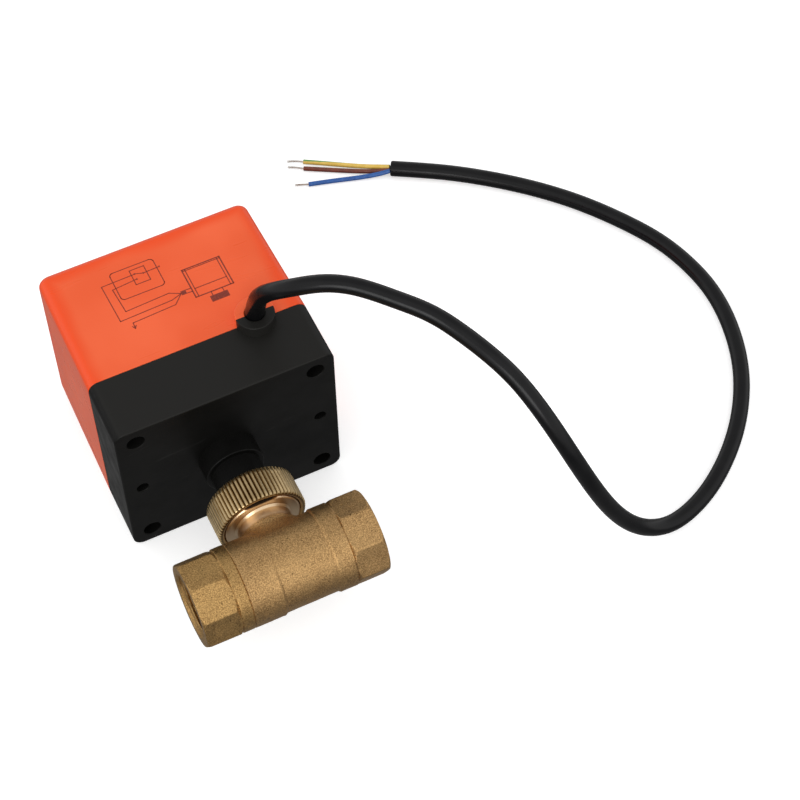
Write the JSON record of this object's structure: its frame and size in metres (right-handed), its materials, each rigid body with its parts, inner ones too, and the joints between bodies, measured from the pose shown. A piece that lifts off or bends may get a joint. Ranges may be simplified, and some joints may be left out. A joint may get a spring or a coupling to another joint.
{
  "type": "motorised zone valve",
  "caption": "Motorised two-way brass ball valve with threaded pipe ends, knurled union nut, box-shaped geared actuator and a short three-core lead with bare tails.",
  "frame": {"origin": "under the middle of the valve and actuator, lead apart, on the surface that the part lies on", "axes": "+X along the pipe from the cap end to the body end, +Y from the valve to the actuator's cover, +Z out of the label face, which is up as the part lies"},
  "size_m": [0.2248, 0.2034, 0.1033],
  "materials": {
    "black_housing": "satin moulded plastic",
    "orange_cover": "glossy moulded plastic",
    "gasket_rubber": "matte",
    "dark_screw": "blackened steel",
    "spring_steel": "satin",
    "gland_rubber": "semi-gloss",
    "cable_black": "satin",
    "wire_green_yellow": "striped insulation",
    "wire_brown": "insulation",
    "wire_blue": "insulation",
    "tinned_copper": "tinned strands",
    "cast_brass": "blasted casting",
    "cap_brass": "blasted casting",
    "turned_brass": "turned and knurled",
    "ptfe": "smooth",
    "chromed_ball": "polished",
    "stem_brass": "turned",
    "oring_rubber": "smooth",
    "shaft_steel": "turned",
    "white_gear": "moulded",
    "steel_gear": "cut",
    "bush_bronze": "sintered",
    "zinc_plate": "zinc plated",
    "motor_can": "drawn and plated",
    "coil_winding": "wound copper wire",
    "rotor_magnet": "sintered ferrite",
    "switch_black": "moulded",
    "plunger_red": "moulded",
    "board_green": "solder mask",
    "terminal_green": "moulded",
    "capacitor_red": "dipped"
  },
  "bodies": {
    "root": {"actuator_base": "black_housing", "cover": "orange_cover", "cover_gasket": "gasket_rubber", "cover_screws": "dark_screw", "frame_screws": "dark_screw", "retaining_ring": "spring_steel", "cable_gland": "gland_rubber", "cable_sheath": "cable_black", "wire_earth": "wire_green_yellow", "wire_live": "wire_brown", "wire_neutral": "wire_blue", "tip_earth": "tinned_copper", "tip_live": "tinned_copper", "tip_neutral": "tinned_copper", "inner_lead": "cable_black", "valve_body": "cast_brass", "end_cap": "cap_brass", "seat_left": "ptfe", "seat_right": "ptfe", "stem_washer": "ptfe", "shaft_bush": "bush_bronze", "gear_pins": "shaft_steel", "gear_plate": "zinc_plate", "motor_front_plate": "zinc_plate", "motor_can": "motor_can", "motor_coil": "coil_winding", "motor_poles": "zinc_plate", "motor_screws": "spring_steel", "closed_switch": "switch_black", "open_switch": "switch_black", "switch_screws": "spring_steel", "board_posts": "stem_brass", "circuit_board": "board_green", "terminal_block": "terminal_green", "run_capacitor": "capacitor_red"},
    "drive_shaft": {"output_shaft": "shaft_steel", "output_gear": "steel_gear", "switch_cam": "white_gear", "shaft_clip": "spring_steel"},
    "valve_core": {"stem": "stem_brass", "ball": "chromed_ball", "stem_orings": "oring_rubber"},
    "second_gear": {"second_gear": "steel_gear"},
    "first_gear": {"first_gear": "steel_gear"},
    "rotor": {"motor_rotor": "rotor_magnet"},
    "closed_plunger": {"closed_plunger": "plunger_red"},
    "open_plunger": {"open_plunger": "plunger_red"},
    "union_nut": {"union_nut": "turned_brass"}
  },
  "joints": [
    {"name": "output_turn", "type": "hinge", "parent": "root", "child": "drive_shaft", "pos_m": [-0.0018, -0.00479, 0.0325], "axis": [0, 1, 0], "range_deg": [0, 90]},
    {"name": "stem_turn", "type": "hinge", "parent": "root", "child": "valve_core", "pos_m": [-0.0018, -0.00479, 0.0325], "axis": [0, 1, 0], "range_deg": [-1, 91]},
    {"name": "second_gear_turn", "type": "hinge", "parent": "root", "child": "second_gear", "pos_m": [-0.0153, -0.00479, 0.01641], "axis": [0, 1, 0], "range_deg": [-364, 4]},
    {"name": "first_gear_turn", "type": "hinge", "parent": "root", "child": "first_gear", "pos_m": [-0.00033, -0.00479, 0.0124], "axis": [0, 1, 0], "range_deg": [-8, 1508]},
    {"name": "rotor_turn", "type": "hinge", "parent": "root", "child": "rotor", "pos_m": [0.00278, -0.00479, 0.02399], "axis": [0, 1, 0], "range_deg": [-4520, 20]},
    {"name": "closed_plunger_slide", "type": "slide", "parent": "root", "child": "closed_plunger", "axis": [0, 0, -1], "range_m": [-0.00003, 0.00123]},
    {"name": "open_plunger_slide", "type": "slide", "parent": "root", "child": "open_plunger", "axis": [0, 0, -1], "range_m": [-0.00003, 0.00123]},
    {"name": "nut_turn", "type": "hinge", "parent": "root", "child": "union_nut", "pos_m": [-0.0018, -0.00479, 0.0325], "axis": [0, 1, 0], "range_deg": [0, 1080]}
  ],
  "couplings": [
    {"joint": "stem_turn", "follows": "output_turn", "ratio": 1},
    {"joint": "second_gear_turn", "follows": "output_turn", "ratio": -4},
    {"joint": "first_gear_turn", "follows": "output_turn", "ratio": 16.667},
    {"joint": "rotor_turn", "follows": "output_turn", "ratio": -50},
    {"joint": "closed_plunger_slide", "follows": "output_turn", "m_per_rad": 0.00076394},
    {"joint": "open_plunger_slide", "follows": "output_turn", "m_per_rad": 0.00076394}
  ]
}
